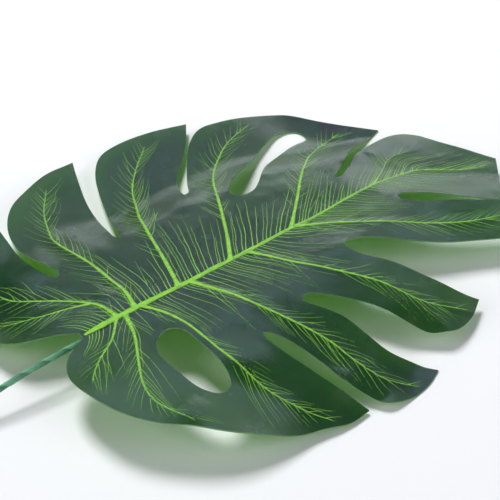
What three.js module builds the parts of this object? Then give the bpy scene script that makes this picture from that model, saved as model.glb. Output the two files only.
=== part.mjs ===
// Artificial monstera leaf: a stiffened fabric blade with a wired stem taped under its midrib.
// It lies face up on a table. Sizes are in mm; the midrib runs along X to the leaf's tip, Z is up.
import * as THREE from "three";

// Driving sizes
const BLADE_THICKNESS = 0.6;
const FIT_GAP = 0.3;
const STEM_RADIUS = 1.2;
const SLEEVE_WALL = 0.45;
const WIRE_RADIUS = 0.45;
const TAPE_WALL = 0.5;
const TAPE_FLANGE = 1.6;
const EDGE_STEP = 2.6;
const INNER_STEP = 5.2;

// How the blade lies: heights of its middle surface over the table
const MIDRIB_HEIGHT = 15;
const TIP_FALL = 5;
const LEFT_SHOULDER = 4.2;
const LEFT_FOLD = 6.4;
const LEFT_FOLD_AT_BASE = 2.2;
const LEFT_END_FALL = 1.4;
const LEFT_BASE_LOBE_FALL = 14;
const RIGHT_SWELL = 2.2;
const RIGHT_DROOP = 17.6;
const RIGHT_BASE_LOBE_RISE = 3.2;
const SECOND_LOBE_LIFT = 5.5;
const THIRD_LOBE_LIFT = 4.5;
const FOURTH_LOBE_LIFT = 7;
const FOURTH_LOBE_END_FALL = 2.5;
const TIP_LOBE_SLANT = 4.2;
const LAST_LOBE_RISE = 4.5;
const REST_HEIGHT = BLADE_THICKNESS / 2;

// The stem: where it ends under the midrib, leaves the blade and meets the table
const STEM_INNER_END = 70;
const TAPE_FROM = -10;
const TAPE_TO = 66;
const BLADE_BASE = -16;
const STEM_SIDE = -0.5;
const STEM_HEIGHT = MIDRIB_HEIGHT - BLADE_THICKNESS / 2 - FIT_GAP - STEM_RADIUS;
const STEM_FREE_POINTS = [
  [-34, 11.6],
  [-51, 9.6],
  [-68, 5.4],
  [-80, 2.2],
  [-92, STEM_RADIUS + 0.02],
];

// Edge of the blade in plan, as runs that meet at the pointed corners of the lobes.
// Each run goes round a slot or along an end; the runs follow each other clockwise from the base.
const EDGE_RUNS = [
  // left base lobe
  [
    [BLADE_BASE, 1.5], [-22, 5.5], [-29.5, 8.5], [-36.5, 12.5], [-41, 21.5], [-42, 36], [-39, 49], [-30, 63],
    [-18.5, 74.5], [-5.5, 82.5],
  ],
  // slot, then the second lobe on the left
  [
    [-5.5, 82.5], [-7, 68.5], [-8.5, 55.5], [-8.5, 44.5], [-7, 37.5], [-4.5, 34.5], [-2, 37], [-3.5, 43.5],
    [-5.5, 53], [-6, 64.5], [-2.5, 76], [5.5, 86.5], [16.5, 93.5], [30, 99.5], [43, 100],
  ],
  // slot, then the third lobe on the left
  [
    [43, 100], [37.5, 86.5], [32.5, 72], [30, 59.5], [27.5, 48], [26.5, 42], [28, 40.5], [29, 42.5],
    [31, 49], [35.5, 62], [40, 74.5], [46.5, 88], [54.5, 96.5], [65, 99], [80.5, 98], [97, 94],
  ],
  // slot, then the fourth and fifth lobes on the left, joined at their ends
  [
    [97, 94], [89.5, 83.5], [80.5, 73.5], [72, 65], [67, 56], [65.5, 50], [67.5, 50.5], [72.5, 58.5],
    [80, 69.5], [91, 82.5], [100, 88], [111, 87], [125, 83.5], [137.5, 77.5], [147, 64.5], [156.5, 52.5],
    [163.5, 44],
  ],
  // narrow slot, then the left edge of the tip lobe
  [
    [163.5, 44], [156.5, 41.5], [146.5, 38], [136, 31.5], [128.5, 26], [122.5, 22], [119, 20], [117.5, 18.5],
    [119.5, 17.5], [125, 20.5], [132, 25.5], [139.5, 30.5], [149.5, 34.5], [159, 36], [167, 34], [171.5, 28],
    [174.5, 18], [185, -6],
  ],
  // end of the tip lobe
  [[185, -6], [176, -17.5], [165, -30.5]],
  // slot, then the upper edge of the fifth lobe on the right
  [
    [165, -30.5], [157, -25.5], [148.5, -18.5], [142, -11.5], [136, -6.5], [131.5, -5], [129.5, -7],
    [131, -11], [137, -18], [147.5, -25.5], [160, -34], [173.5, -43.5],
  ],
  // end of the fifth lobe, slot, then the upper edge of the fourth
  [
    [173.5, -43.5], [168, -49], [159.5, -52], [150, -49.5], [137.5, -43], [124, -36], [112.5, -28],
    [103, -21], [95.5, -18], [91, -19], [91, -23], [95, -32], [102, -42], [108.5, -50.5], [115.5, -58.5],
    [121.5, -64.5],
  ],
  // end of the fourth lobe, slot, then the upper edge of the third
  [
    [121.5, -64.5], [112, -70.5], [101, -73], [94, -69.5], [89, -63.5], [85, -57.5], [80.5, -48.5],
    [74, -39.5], [67, -33.5], [62, -31.5], [59.5, -34], [62, -39], [67, -48], [70, -57.5], [73.5, -66.5],
    [80, -73], [86.5, -81],
  ],
  // end of the third lobe, slot, then the upper edge of the second
  [
    [86.5, -81], [79, -84.5], [69.5, -86], [59.5, -84.5], [55, -77.5], [51, -69.5], [49, -58.5], [46, -48],
    [42, -41], [39, -38], [37, -39], [38.5, -47.5], [41.5, -57], [45, -68], [49, -74.5], [52.5, -82],
  ],
  // second and first lobes on the right, joined at their ends, back to the base
  [
    [52.5, -82], [43, -83], [32, -80.5], [18, -78], [1.5, -71], [-11, -61.5], [-21, -52], [-28, -41],
    [-31.5, -27.5], [-31.5, -16.5], [-27, -8], [BLADE_BASE, -1.5],
  ],
  // blunt base over the stem
  [[BLADE_BASE, -1.5], [BLADE_BASE, 1.5]],
];

// Holes in the blade in plan: between the joined lobes on the right and on the left
const HOLES = [
  [
    [10, -16.5], [14.5, -19.5], [15.5, -28.5], [16.5, -40.5], [14, -51], [8.5, -54], [3, -49.5], [0.5, -38.5],
    [0, -26], [3.5, -20],
  ],
  [
    [80, 32], [86, 31.5], [92, 35.5], [97.5, 40.5], [108.5, 48.5], [122.5, 55], [134.5, 57.5], [134, 64.5],
    [126.5, 67], [114, 62], [100.5, 54], [87, 46], [79.5, 39.5], [77.5, 35.5],
  ],
];

const FABRIC_GREEN = new THREE.MeshStandardMaterial({ color: 0x2f5a3a, roughness: 0.62, metalness: 0 });
const STEM_GREEN = new THREE.MeshStandardMaterial({ color: 0x5fae84, roughness: 0.4, metalness: 0 });
const TAPE_GREEN = new THREE.MeshStandardMaterial({ color: 0x6fae4e, roughness: 0.7, metalness: 0 });
const WIRE_STEEL = new THREE.MeshStandardMaterial({ color: 0x8d9094, roughness: 0.35, metalness: 1 });

// Smooth rise from 0 to 1
function ease(t) {
  const c = THREE.MathUtils.clamp(t, 0, 1);
  return c * c * (3 - 2 * c);
}

// How far a place belongs to the lobes past the narrow slot on the left, from 0 to 1
function tipShare(x, y) {
  return ease((x - 118) / 25) * ease((20 + 0.5 * (x - 119) - y) / 6 + 0.5);
}

// Left half: sinks from the midrib and folds across its lobes; its first and last lobes reach the table
function leftFall(x, left) {
  const shoulder = LEFT_SHOULDER * ease(left / 62);
  const fromFold = left + 0.3 * Math.max(x - 95, 0) * ease(left / 25) - 38;
  const growth = (LEFT_FOLD - LEFT_FOLD_AT_BASE) * ease((x + 10) / 50) + LEFT_END_FALL * ease((x - 112) / 26);
  const fold = (LEFT_FOLD_AT_BASE + growth) * ease(fromFold / 26) * (1 - 0.8 * tipShare(x, left));
  const baseLobe = LEFT_BASE_LOBE_FALL * ease((-10 - x) / 36) * ease((left - 2) / 48);
  return shoulder + fold + baseLobe;
}

// How far a place lies past the fourth slot on the right, from 0 to 1
function pastFourthSlot(x, right) {
  return ease((17.5 + 0.85 * (x - 93.5) - right) / 6 + 0.5);
}

// Right half: how far its second, third and fourth lobes arch over the droop
function lobeLift(x, right) {
  const outward = 0.8 * x + 0.6 * right;
  const pastSecond = ease((0.911 * (x - 38) + 0.41 * (40 - right) + 1.6) / 3.6);
  const fromThird = 0.768 * (x - 62) + 0.64 * (34 - right);
  const pastThird = ease((fromThird + 2) / 6);
  const second = SECOND_LOBE_LIFT * ease((outward - 48) / 34) * (1 - 0.8 * ease((right - 66) / 17));
  const third = THIRD_LOBE_LIFT * (ease((outward - 62) / 26) - ease((outward - 92) / 22));
  const arch = FOURTH_LOBE_LIFT * ease((outward - 78) / 30);
  const endFall = FOURTH_LOBE_END_FALL * ease((outward - 118) / 18);
  const fourth = (arch - endFall) * (1 - 0.2 * ease((fromThird - 8) / 24)) * ease((right - 12) / 26);
  const nearer = second * (1 - pastSecond) + third * pastSecond * (1 - pastThird);
  return (nearer + fourth * pastThird * (1 - pastFourthSlot(x, right))) * ease(right / 20);
}

// Right half: swells beside the midrib and droops to the table; its first and last lobes stand clear
function rightFall(x, right) {
  const swell = RIGHT_SWELL * ease((x + 10) / 50) * ease(right / 26);
  const lastLobe = ease((x - 96) / 30) * pastFourthSlot(x, right);
  const fromDroop = right - 18 + 0.12 * (x - 70);
  const reach = ease((x + 10) / 46) * ease(right / 10) * (1 - 0.45 * lastLobe);
  const droop = RIGHT_DROOP * ease(fromDroop / 70) * reach;
  const bump = Math.exp(-(((x + 22) / 30) ** 2) - ((right - 36) / 30) ** 2);
  return droop - swell - RIGHT_BASE_LOBE_RISE * bump * ease(right / 30) - lobeLift(x, right);
}

// Height of the blade's middle surface over the table
function bladeHeight(x, y) {
  const left = Math.max(y, 0);
  const right = Math.max(-y, 0);
  let z = MIDRIB_HEIGHT - TIP_FALL * ease((x - 70) / 120) - leftFall(x, left) - rightFall(x, right);
  // the tip lobe slants away from the last slot, and the last lobe on the right stands over it
  const fromLastSlot = y + 8 + 0.76 * (x - 131);
  z -= TIP_LOBE_SLANT * ease(fromLastSlot / 30) * tipShare(x, y);
  z += LAST_LOBE_RISE * ease((x - 124) / 40) * ease(0.5 - fromLastSlot / 5);
  return Math.max(z, REST_HEIGHT);
}

// Direction square to the blade's surface
function bladeNormal(x, y) {
  const d = 0.5;
  const slopeX = (bladeHeight(x + d, y) - bladeHeight(x - d, y)) / (2 * d);
  const slopeY = (bladeHeight(x, y + d) - bladeHeight(x, y - d)) / (2 * d);
  return new THREE.Vector3(-slopeX, -slopeY, 1).normalize();
}

// Points along a smooth line through the landmarks, without its last point
function alongRun(landmarks, closed) {
  const through = landmarks.map(([x, y]) => new THREE.Vector3(x, y, 0));
  const curve = new THREE.CatmullRomCurve3(through, closed, "centripetal");
  const count = Math.round(curve.getLength() / EDGE_STEP);
  return curve.getSpacedPoints(count).slice(0, count).map((p) => new THREE.Vector2(p.x, p.y));
}

function isInside(point, loop) {
  let inside = false;
  loop.forEach((a, i) => {
    const b = loop[(i + 1) % loop.length];
    const crosses = a.y > point.y !== b.y > point.y;
    if (crosses && point.x < a.x + ((b.x - a.x) * (point.y - a.y)) / (b.y - a.y)) inside = !inside;
  });
  return inside;
}

function isInBlade(point, loops) {
  const [edge, ...holes] = loops;
  return isInside(point, edge) && !holes.some((hole) => isInside(point, hole));
}

// Points spread evenly in the blade, clear of its edges
function innerPoints(loops) {
  const box = new THREE.Box2().setFromPoints(loops[0]);
  const edgePoints = loops.flat();
  const rowStep = INNER_STEP * Math.sqrt(0.75);
  const points = [];
  for (let row = 0, y = box.min.y; y < box.max.y; row += 1, y += rowStep) {
    for (let x = box.min.x + ((row % 2) * INNER_STEP) / 2; x < box.max.x; x += INNER_STEP) {
      const point = new THREE.Vector2(x + 0.05 * Math.sin(7 * row), y + 0.05 * Math.sin(x));
      const clear = edgePoints.every((p) => p.distanceTo(point) > 0.55 * INNER_STEP);
      if (clear && isInBlade(point, loops)) points.push(point);
    }
  }
  return points;
}

// Centre and squared radius of the circle through three points
function circleThrough(a, b, c) {
  const [bx, by, cx, cy] = [b.x - a.x, b.y - a.y, c.x - a.x, c.y - a.y];
  const d = 2 * (bx * cy - by * cx);
  const ux = (cy * (bx * bx + by * by) - by * (cx * cx + cy * cy)) / d;
  const uy = (bx * (cx * cx + cy * cy) - cx * (bx * bx + by * by)) / d;
  return { x: a.x + ux, y: a.y + uy, square: ux * ux + uy * uy };
}

// Triangles that join the points so that no point lies in another triangle's circle
function delaunay(points) {
  const far = 1e4;
  const outside = [[-far, -far], [far, -far], [0, far]].map(([x, y]) => new THREE.Vector2(x, y));
  const all = [...points, ...outside];
  const n = points.length;
  const makeTriangle = (i, j, k) => ({ corners: [i, j, k], circle: circleThrough(all[i], all[j], all[k]) });
  let triangles = [makeTriangle(n, n + 1, n + 2)];
  points.forEach((p, index) => {
    const rim = new Map();
    const kept = [];
    triangles.forEach((triangle) => {
      const { x, y, square } = triangle.circle;
      if ((p.x - x) ** 2 + (p.y - y) ** 2 >= square) {
        kept.push(triangle);
        return;
      }
      triangle.corners.forEach((from, side) => {
        const to = triangle.corners[(side + 1) % 3];
        if (!rim.delete(`${to},${from}`)) rim.set(`${from},${to}`, [from, to]);
      });
    });
    rim.forEach(([from, to]) => kept.push(makeTriangle(from, to, index)));
    triangles = kept;
  });
  return triangles.map((triangle) => triangle.corners).filter((corners) => Math.max(...corners) < n);
}

function middleOf(corners, points) {
  const middle = new THREE.Vector2();
  corners.forEach((i) => middle.addScaledVector(points[i], 1 / 3));
  return middle;
}

// The blade: the same triangles above and below its middle surface, and a wall round each edge
function makeBlade() {
  const edge = EDGE_RUNS.flatMap((run) => alongRun(run, false));
  const loops = [edge, ...HOLES.map((hole) => alongRun(hole, true))];
  const points = [...loops.flat(), ...innerPoints(loops)];
  const faces = delaunay(points).filter((corners) => isInBlade(middleOf(corners, points), loops));
  const n = points.length;
  const positions = [];
  [1, -1].forEach((side) => {
    points.forEach(({ x, y }) => {
      const middle = new THREE.Vector3(x, y, bladeHeight(x, y));
      middle.addScaledVector(bladeNormal(x, y), (side * BLADE_THICKNESS) / 2);
      positions.push(middle.x, middle.y, middle.z);
    });
  });
  const index = [];
  const edges = new Map();
  faces.forEach(([a, b, c]) => {
    index.push(a, b, c, n + a, n + c, n + b);
    [[a, b], [b, c], [c, a]].forEach(([from, to]) => {
      if (!edges.delete(`${to},${from}`)) edges.set(`${from},${to}`, [from, to]);
    });
  });
  edges.forEach(([from, to]) => index.push(from, n + from, n + to, from, n + to, to));
  const geometry = new THREE.BufferGeometry();
  geometry.setAttribute("position", new THREE.Float32BufferAttribute(positions, 3));
  geometry.setIndex(index);
  return geometry;
}

// Line of the stem's middle: close under the midrib, then out of the base and down to the table
function stemLine() {
  const points = [];
  for (let x = STEM_INNER_END; x > BLADE_BASE; x -= 8) {
    points.push(new THREE.Vector3(x, STEM_SIDE, STEM_HEIGHT));
  }
  STEM_FREE_POINTS.forEach(([x, z]) => points.push(new THREE.Vector3(x, STEM_SIDE, z)));
  return new THREE.CatmullRomCurve3(points, false, "centripetal");
}

function alongStem(shape) {
  const options = { extrudePath: stemLine(), steps: 30, curveSegments: 6, bevelEnabled: false };
  return new THREE.ExtrudeGeometry(shape, options);
}

function circle(radius, Outline) {
  return new Outline().absarc(0, 0, radius, 0, 2 * Math.PI, false);
}

function makeSleeve() {
  const ring = circle(STEM_RADIUS, THREE.Shape);
  ring.holes.push(circle(STEM_RADIUS - SLEEVE_WALL, THREE.Path));
  return alongStem(ring);
}

function makeWire() {
  return alongStem(circle(WIRE_RADIUS, THREE.Shape));
}

// The tape: a channel round the stem with a flange on each side, against the underside of the blade
function makeTape() {
  const inner = STEM_RADIUS + FIT_GAP;
  const outer = inner + TAPE_WALL;
  const top = MIDRIB_HEIGHT - BLADE_THICKNESS / 2 - FIT_GAP - STEM_HEIGHT;
  const section = new THREE.Shape();
  section.moveTo(-outer - TAPE_FLANGE, top);
  section.lineTo(-outer - TAPE_FLANGE, top - TAPE_WALL);
  section.lineTo(-outer, top - TAPE_WALL);
  section.absarc(0, 0, outer, Math.PI, 2 * Math.PI, false);
  section.lineTo(outer, top - TAPE_WALL);
  section.lineTo(outer + TAPE_FLANGE, top - TAPE_WALL);
  section.lineTo(outer + TAPE_FLANGE, top);
  section.lineTo(inner, top);
  section.absarc(0, 0, inner, 0, Math.PI, true);
  section.lineTo(-inner, top);
  const options = { depth: TAPE_TO - TAPE_FROM, steps: 8, curveSegments: 6, bevelEnabled: false };
  const geometry = new THREE.ExtrudeGeometry(section, options);
  // the section lies across the stem and is drawn out along it
  const across = new THREE.Vector3(0, 1, 0);
  const up = new THREE.Vector3(0, 0, 1);
  const along = new THREE.Vector3(1, 0, 0);
  geometry.applyMatrix4(new THREE.Matrix4().makeBasis(across, up, along));
  return geometry.translate(TAPE_FROM, STEM_SIDE, STEM_HEIGHT);
}

const leaf = new THREE.Group();
const pieces = [
  ["leaf_blade", makeBlade(), FABRIC_GREEN],
  ["stem_sleeve", makeSleeve(), STEM_GREEN],
  ["stem_wire", makeWire(), WIRE_STEEL],
  ["rib_tape", makeTape(), TAPE_GREEN],
];
pieces.forEach(([name, geometry, material]) => {
  const mesh = new THREE.Mesh(geometry, material);
  mesh.name = name;
  leaf.add(mesh);
});

// The frame's origin is under the middle of the whole leaf
const middle = new THREE.Box3().setFromObject(leaf, true).getCenter(new THREE.Vector3());
leaf.position.set(-middle.x, -middle.y, 0);

const part = new THREE.Group();
part.name = "monstera_leaf";
part.add(leaf);
export default part;
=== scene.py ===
"""Looks of an artificial monstera leaf that lies on a pale table.

The blade is printed fabric with raised printed veins; a wrapped wire stem is taped under its midrib.
Places on the leaf are given in plan, in millimetres: x runs along the midrib from the base point of the
blade to its tip, y to the leaf's left side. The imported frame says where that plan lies.
"""

import logging
import math
import random
from collections.abc import Callable
from dataclasses import dataclass, field
from enum import Enum

import bmesh
import bpy
import numpy as np
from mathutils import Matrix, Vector, noise
from mathutils.bvhtree import BVHTree


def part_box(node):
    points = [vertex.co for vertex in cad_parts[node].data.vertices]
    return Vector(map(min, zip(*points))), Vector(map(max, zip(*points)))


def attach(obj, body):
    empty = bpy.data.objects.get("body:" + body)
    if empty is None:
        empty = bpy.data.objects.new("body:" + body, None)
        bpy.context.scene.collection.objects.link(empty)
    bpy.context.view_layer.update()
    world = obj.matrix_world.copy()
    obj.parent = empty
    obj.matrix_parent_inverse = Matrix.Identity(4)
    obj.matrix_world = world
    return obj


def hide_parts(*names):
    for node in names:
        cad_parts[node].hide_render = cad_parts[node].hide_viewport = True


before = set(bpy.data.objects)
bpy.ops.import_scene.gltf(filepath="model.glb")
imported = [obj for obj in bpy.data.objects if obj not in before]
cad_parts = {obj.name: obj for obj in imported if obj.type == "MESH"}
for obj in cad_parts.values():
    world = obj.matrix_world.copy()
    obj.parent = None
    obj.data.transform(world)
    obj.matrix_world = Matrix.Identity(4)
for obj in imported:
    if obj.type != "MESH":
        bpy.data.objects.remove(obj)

LOG = logging.getLogger("leaf")
MM = 0.001
BODY = "root"

# Metres: a gap inside which vertices are one, and a height above all of the leaf
MERGE_GAP = 1e-6
OVER_LEAF = 0.1

# Decimals of a metre by which the vertices of the wire are told apart
PLACE_DIGITS = 7

# Millimetres between the points of a vein that distances are measured to
MEASURE_STEP = 1.0

Point = tuple[float, float]
Colour = tuple[float, float, float]


class Side(Enum):
    """The three kinds of surface of the blade, by material slot."""

    PRINT = 0
    BACK = 1
    CUT = 2


class Socket:
    """A value in a node tree. Arithmetic on it adds Math nodes."""

    def __init__(self, graph: "NodeGraph", output: bpy.types.NodeSocket) -> None:
        """Keep the tree and the output socket that holds the value."""
        self.graph = graph
        self.output = output

    def math(self, operation: str, *others: "float | Socket") -> "Socket":
        """Return the result of a Math node that takes this value and then the others."""
        made = self.graph.node("ShaderNodeMath", {"operation": operation}, dict(enumerate([self, *others])))
        return Socket(self.graph, made.outputs[0])

    def __add__(self, other: "float | Socket") -> "Socket":
        """Return the sum."""
        return self.math("ADD", other)

    def __sub__(self, other: "float | Socket") -> "Socket":
        """Return the difference."""
        return self.math("SUBTRACT", other)

    def __mul__(self, other: "float | Socket") -> "Socket":
        """Return the product."""
        return self.math("MULTIPLY", other)

    def sine(self) -> "Socket":
        """Return the sine."""
        return self.math("SINE")


Value = float | Colour | Socket | bpy.types.NodeSocket


class NodeGraph:
    """A node tree that is filled node by node."""

    def __init__(self, tree: bpy.types.NodeTree) -> None:
        """Keep the tree and empty it."""
        self.tree = tree
        self.tree.nodes.clear()

    def node(self, kind: str, settings: dict | None = None, inputs: dict | None = None) -> bpy.types.Node:
        """Add a node.

        Args:
            kind: the node's type.
            settings: properties of the node, which are set first.
            inputs: values or links of its sockets, by name or number.

        Returns:
            The new node.
        """
        made = self.tree.nodes.new(kind)
        for key, value in (settings or {}).items():
            setattr(made, key, value)
        for key, value in (inputs or {}).items():
            self._feed(made.inputs[key], value)
        return made

    def _feed(self, target: bpy.types.NodeSocket, value: Value) -> None:
        """Link a socket, or set a number or colour on it.

        Args:
            target: the socket.
            value: what it takes.
        """
        if isinstance(value, Socket):
            self.tree.links.new(value.output, target)
        elif isinstance(value, bpy.types.NodeSocket):
            self.tree.links.new(value, target)
        elif isinstance(value, tuple) and target.type == "RGBA":
            target.default_value = (*value, 1.0)
        else:
            target.default_value = value


class ShaderGraph(NodeGraph):
    """A new material and the nodes that make it."""

    def __init__(self, name: str) -> None:
        """Start an empty material.

        Args:
            name: the material's name.
        """
        self.material = bpy.data.materials.new(name)
        self.material.use_nodes = True
        super().__init__(self.material.node_tree)

    def place(self) -> bpy.types.NodeSocket:
        """Return the Object coordinates."""
        return self.node("ShaderNodeTexCoord").outputs["Object"]

    def along(self, axis: str) -> Socket:
        """Return one of the Object coordinates, by its letter."""
        split = self.node("ShaderNodeSeparateXYZ", inputs={0: self.place()})
        return Socket(self, split.outputs[axis])

    def attribute(self, name: str) -> Socket:
        """Return a number that is stored on the mesh."""
        return Socket(self, self.node("ShaderNodeAttribute", {"attribute_name": name}).outputs["Fac"])

    def noise(self, scale: float, detail: float = 3.0, stretch: Colour = (1.0, 1.0, 1.0)) -> Socket:
        """Return a noise between 0 and 1.

        Args:
            scale: waves to the metre.
            detail: how many finer noises are added.
            stretch: factors of the waves along the three axes.

        Returns:
            The noise's value.
        """
        drawn = self.node("ShaderNodeVectorMath", {"operation": "MULTIPLY"}, {0: self.place(), 1: stretch})
        inputs = {"Vector": drawn.outputs[0], "Scale": scale, "Detail": detail}
        return Socket(self, self.node("ShaderNodeTexNoise", inputs=inputs).outputs["Fac"])

    def streaks(self, attribute: str, scale: float) -> Socket:
        """Return a noise that runs in streaks along the lines of a stored number.

        Args:
            attribute: name of the stored number, which is the same along a line.
            scale: waves to each unit of the number.

        Returns:
            The noise's value, between 0 and 1.
        """
        inputs = {"W": self.attribute(attribute) * scale, "Scale": 1.0, "Detail": 4.0}
        made = self.node("ShaderNodeTexNoise", {"noise_dimensions": "1D"}, inputs)
        return Socket(self, made.outputs["Fac"])

    def blend(self, share: float | Socket, low: Value, high: Value) -> bpy.types.NodeSocket:
        """Return a mix of two colours, with a share of the second."""
        made = self.node("ShaderNodeMix", {"data_type": "RGBA"}, {0: share, 6: low, 7: high})
        return made.outputs[2]

    def weave(self, pitch: float) -> Socket:
        """Return the height of a plain weave, -1 to 1, for a distance between threads in metres."""
        turn = 2 * math.pi / pitch
        return (self.along("X") * turn).sine() * (self.along("Y") * turn).sine()

    def bump(self, height: Socket, distance: float) -> bpy.types.NodeSocket:
        """Return the normal of a surface with relief, of which 1 stands for a distance in metres."""
        inputs = {"Height": height, "Distance": distance, "Strength": 1.0}
        return self.node("ShaderNodeBump", inputs=inputs).outputs["Normal"]

    @staticmethod
    def uneven(pattern: Socket, middle: float, spread: float) -> Socket:
        """Return a value that follows a pattern from 0 to 1 over a spread round a middle."""
        return pattern * spread + (middle - spread / 2)

    def principled(self, inputs: dict) -> bpy.types.Node:
        """Add a Principled shader with the given sockets."""
        return self.node("ShaderNodeBsdfPrincipled", inputs=inputs)

    def finish(self, shader: bpy.types.NodeSocket) -> bpy.types.Material:
        """Put the shader on the surface and return the material."""
        self.node("ShaderNodeOutputMaterial", inputs={"Surface": shader})
        return self.material


@dataclass(frozen=True)
class Fabric:
    """Stiffened woven polyester that lets some light through, pressed in streaks along its veins.

    Attributes:
        name: the material's name.
        deep: the darker colour.
        pale: the lighter colour.
        glow: colour of the light that comes through.
        glow_share: share of the light that may come through.
        roughness: middle of the roughness.
        unevenness: spread of the roughness.
        cloud_scale: soft clouds of tone to the metre.
        speck_scale: specks to the metre.
        streak_scale: streaks to each millimetre along the midrib.
        cloud_share: part of the clouds in the colour.
        speck_share: part of the specks in the colour.
        streak_share: part of the streaks in the colour.
        weave_pitch: distance between threads in metres.
        weave_height: height of the threads in metres.
        speck_height: height of the specks, in threads.
        streak_height: height of the streaks, in threads.
        sheen: strength of the fibres' sheen.
        sheen_roughness: its roughness.
    """

    name: str
    deep: Colour
    pale: Colour
    glow: Colour
    glow_share: float
    roughness: float
    unevenness: float = 0.14
    cloud_scale: float = 55.0
    speck_scale: float = 1400.0
    streak_scale: float = 0.8
    cloud_share: float = 0.4
    speck_share: float = 0.4
    streak_share: float = 0.3
    weave_pitch: float = 0.32 * MM
    weave_height: float = 0.006 * MM
    speck_height: float = 1.5
    streak_height: float = 7.5
    sheen: float = 0.02
    sheen_roughness: float = 0.4

    def make(self) -> bpy.types.Material:
        """Make the material, which reads the line of the streaks from the mesh.

        Returns:
            The material.
        """
        graph = ShaderGraph(self.name)
        cloudy = graph.noise(self.cloud_scale, detail=4.0)
        speck = graph.noise(self.speck_scale, detail=2.0)
        streak = graph.streaks("streak", self.streak_scale)
        tone = cloudy * self.cloud_share + speck * self.speck_share + streak * self.streak_share
        threads = graph.weave(self.weave_pitch)
        relief = threads + speck * self.speck_height + streak * self.streak_height
        inputs = {
            "Base Color": graph.blend(tone, self.deep, self.pale),
            "Roughness": graph.uneven(cloudy, self.roughness, self.unevenness),
            "Sheen Weight": self.sheen,
            "Sheen Roughness": self.sheen_roughness,
            "Normal": graph.bump(relief, self.weave_height),
        }
        face = graph.principled(inputs).outputs[0]
        light = graph.node("ShaderNodeBsdfTranslucent", inputs={"Color": self.glow}).outputs[0]
        mixed = graph.node("ShaderNodeMixShader", inputs={0: self.glow_share, 1: face, 2: light})
        return graph.finish(mixed.outputs[0])


@dataclass(frozen=True)
class VeinPrint:
    """Light green print on the raised veins, paler where the vein is strong.

    Attributes:
        name: the material's name.
        faint: colour where a vein fades.
        strong: colour of a strong vein.
        roughness: middle of the roughness.
        unevenness: spread of the roughness.
        gloss: strength of the gloss, of which 0.5 is usual.
        patch_scale: patches to the metre.
        grain_scale: waves of the grain to the metre.
        grain_stretch: factors of the grain's waves along the three axes.
        patch_share: part of the patches in the strength.
        grain_share: part of the grain in the strength.
        wear: strength that is lost all over.
        grain_height: height of the grain in metres.
    """

    name: str = "vein_print"
    faint: Colour = (0.030, 0.090, 0.035)
    strong: Colour = (0.260, 0.610, 0.045)
    roughness: float = 0.38
    unevenness: float = 0.2
    gloss: float = 0.3
    patch_scale: float = 420.0
    grain_scale: float = 1500.0
    grain_stretch: Colour = (0.16, 1.0, 1.0)
    patch_share: float = 0.7
    grain_share: float = 1.1
    wear: float = 0.05
    grain_height: float = 0.05 * MM

    def make(self) -> bpy.types.Material:
        """Make the material, which reads the vein's strength from the mesh.

        Returns:
            The material.
        """
        graph = ShaderGraph(self.name)
        patchy = graph.noise(self.patch_scale)
        grain = graph.noise(self.grain_scale, stretch=self.grain_stretch)
        print_share = patchy * self.patch_share + grain * self.grain_share - self.wear
        inputs = {
            "Base Color": graph.blend(graph.attribute("strength") * print_share, self.faint, self.strong),
            "Roughness": graph.uneven(patchy, self.roughness, self.unevenness),
            "Specular IOR Level": self.gloss,
            "Normal": graph.bump(grain, self.grain_height),
        }
        return graph.finish(graph.principled(inputs).outputs[0])


@dataclass(frozen=True)
class WrapPlastic:
    """Satin green plastic wound round the stem, painted paler along the edge of its winding: partly the
    wrap's real edge, partly a painted highlight.

    Attributes:
        name: the material's name.
        deep: colour away from the wound edge.
        pale: colour along the wound edge, which also serves as a painted highlight.
        roughness: middle of the roughness.
        unevenness: spread of the roughness.
        streak_scale: streaks to the metre.
        wound_highlight_share: part of the wound edge, with its painted highlight, in the colour.
        streak_share: part of the streaks in the colour.
        streak_height: height of the streaks in metres.
    """

    name: str = "stem_wrap"
    deep: Colour = (0.018, 0.120, 0.050)
    pale: Colour = (0.170, 0.440, 0.270)
    roughness: float = 0.255
    unevenness: float = 0.15
    streak_scale: float = 900.0
    wound_highlight_share: float = 0.8
    streak_share: float = 0.25
    streak_height: float = 0.02 * MM

    def make(self) -> bpy.types.Material:
        """Make the material, paler along the wound edge that the mesh marks, which is partly a painted
        highlight.

        Returns:
            The material.
        """
        graph = ShaderGraph(self.name)
        streak = graph.noise(self.streak_scale)
        # Paler along the wound edge: partly the wrap's edge, partly a painted highlight
        share = graph.attribute("wound") * self.wound_highlight_share + streak * self.streak_share
        inputs = {
            "Base Color": graph.blend(share, self.deep, self.pale),
            "Roughness": graph.uneven(streak, self.roughness, self.unevenness),
            "Normal": graph.bump(streak, self.streak_height),
        }
        return graph.finish(graph.principled(inputs).outputs[0])


@dataclass(frozen=True)
class DrawnSteel:
    """Plain drawn steel wire.

    Attributes:
        name: the material's name.
        dark: the darker colour.
        bright: the lighter colour.
        roughness: middle of the roughness.
        unevenness: spread of the roughness.
        grain_scale: waves of the grain to the metre.
        grain_height: height of the grain in metres.
    """

    name: str = "drawn_steel"
    dark: Colour = (0.30, 0.30, 0.31)
    bright: Colour = (0.55, 0.55, 0.56)
    roughness: float = 0.35
    unevenness: float = 0.2
    grain_scale: float = 1800.0
    grain_height: float = 0.01 * MM

    def make(self) -> bpy.types.Material:
        """Make the material.

        Returns:
            The material.
        """
        graph = ShaderGraph(self.name)
        grain = graph.noise(self.grain_scale)
        inputs = {
            "Base Color": graph.blend(grain, self.dark, self.bright),
            "Metallic": 1.0,
            "Roughness": graph.uneven(grain, self.roughness, self.unevenness),
            "Normal": graph.bump(grain, self.grain_height),
        }
        return graph.finish(graph.principled(inputs).outputs[0])


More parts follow.
